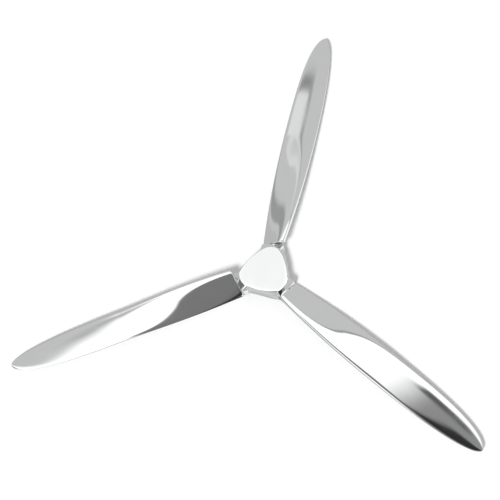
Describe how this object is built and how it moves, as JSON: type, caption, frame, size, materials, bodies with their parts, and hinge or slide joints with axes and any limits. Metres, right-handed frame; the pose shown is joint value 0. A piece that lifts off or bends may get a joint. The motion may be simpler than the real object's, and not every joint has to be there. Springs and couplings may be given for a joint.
{
  "type": "wall propeller",
  "caption": "Polished aluminium aircraft-style propeller: slim twisted blades bolted to a rounded-triangle hub that spins on a wall spindle.",
  "frame": {"origin": "on the propeller axis, at the flat back face of the wall plate", "axes": "+Z along the propeller axis towards the front face of the hub; +Y along the first blade; +X to the right seen from the front, towards that blade's leading edge"},
  "size_m": [0.6074, 0.5279, 0.0254],
  "materials": {
    "polished_aluminium": "mirror polished",
    "cast_aluminium": "polished walls, plain cast inside",
    "zinc_steel": "zinc plated",
    "turned_steel": "turned",
    "bronze": "machined, oiled",
    "powder_coat": "matt powder coat",
    "nylon": "moulded"
  },
  "bodies": {
    "wall_mount": {"wall_plate": "powder_coat", "spindle": "turned_steel", "thrust_washer": "nylon", "spindle_washer": "zinc_steel", "spindle_nut": "zinc_steel"},
    "rotor": {"hub_body": "cast_aluminium", "hub_cap": "polished_aluminium", "bush_rear": "bronze", "bush_front": "bronze", "blade_1": "polished_aluminium", "blade_2": "polished_aluminium", "blade_3": "polished_aluminium", "blade_stud_1": "zinc_steel", "blade_stud_2": "zinc_steel", "blade_stud_3": "zinc_steel", "blade_dowel_1": "turned_steel", "blade_dowel_2": "turned_steel", "blade_dowel_3": "turned_steel", "blade_washer_1": "zinc_steel", "blade_washer_2": "zinc_steel", "blade_washer_3": "zinc_steel", "blade_nut_1": "zinc_steel", "blade_nut_2": "zinc_steel", "blade_nut_3": "zinc_steel", "cover_screw_1": "zinc_steel", "cover_screw_2": "zinc_steel", "cover_screw_3": "zinc_steel"}
  },
  "joints": [
    {"name": "rotor_spin", "type": "hinge", "parent": "wall_mount", "child": "rotor", "pos_m": [0, 0, 0.0098], "axis": [0, 0, 1], "continuous": true}
  ]
}
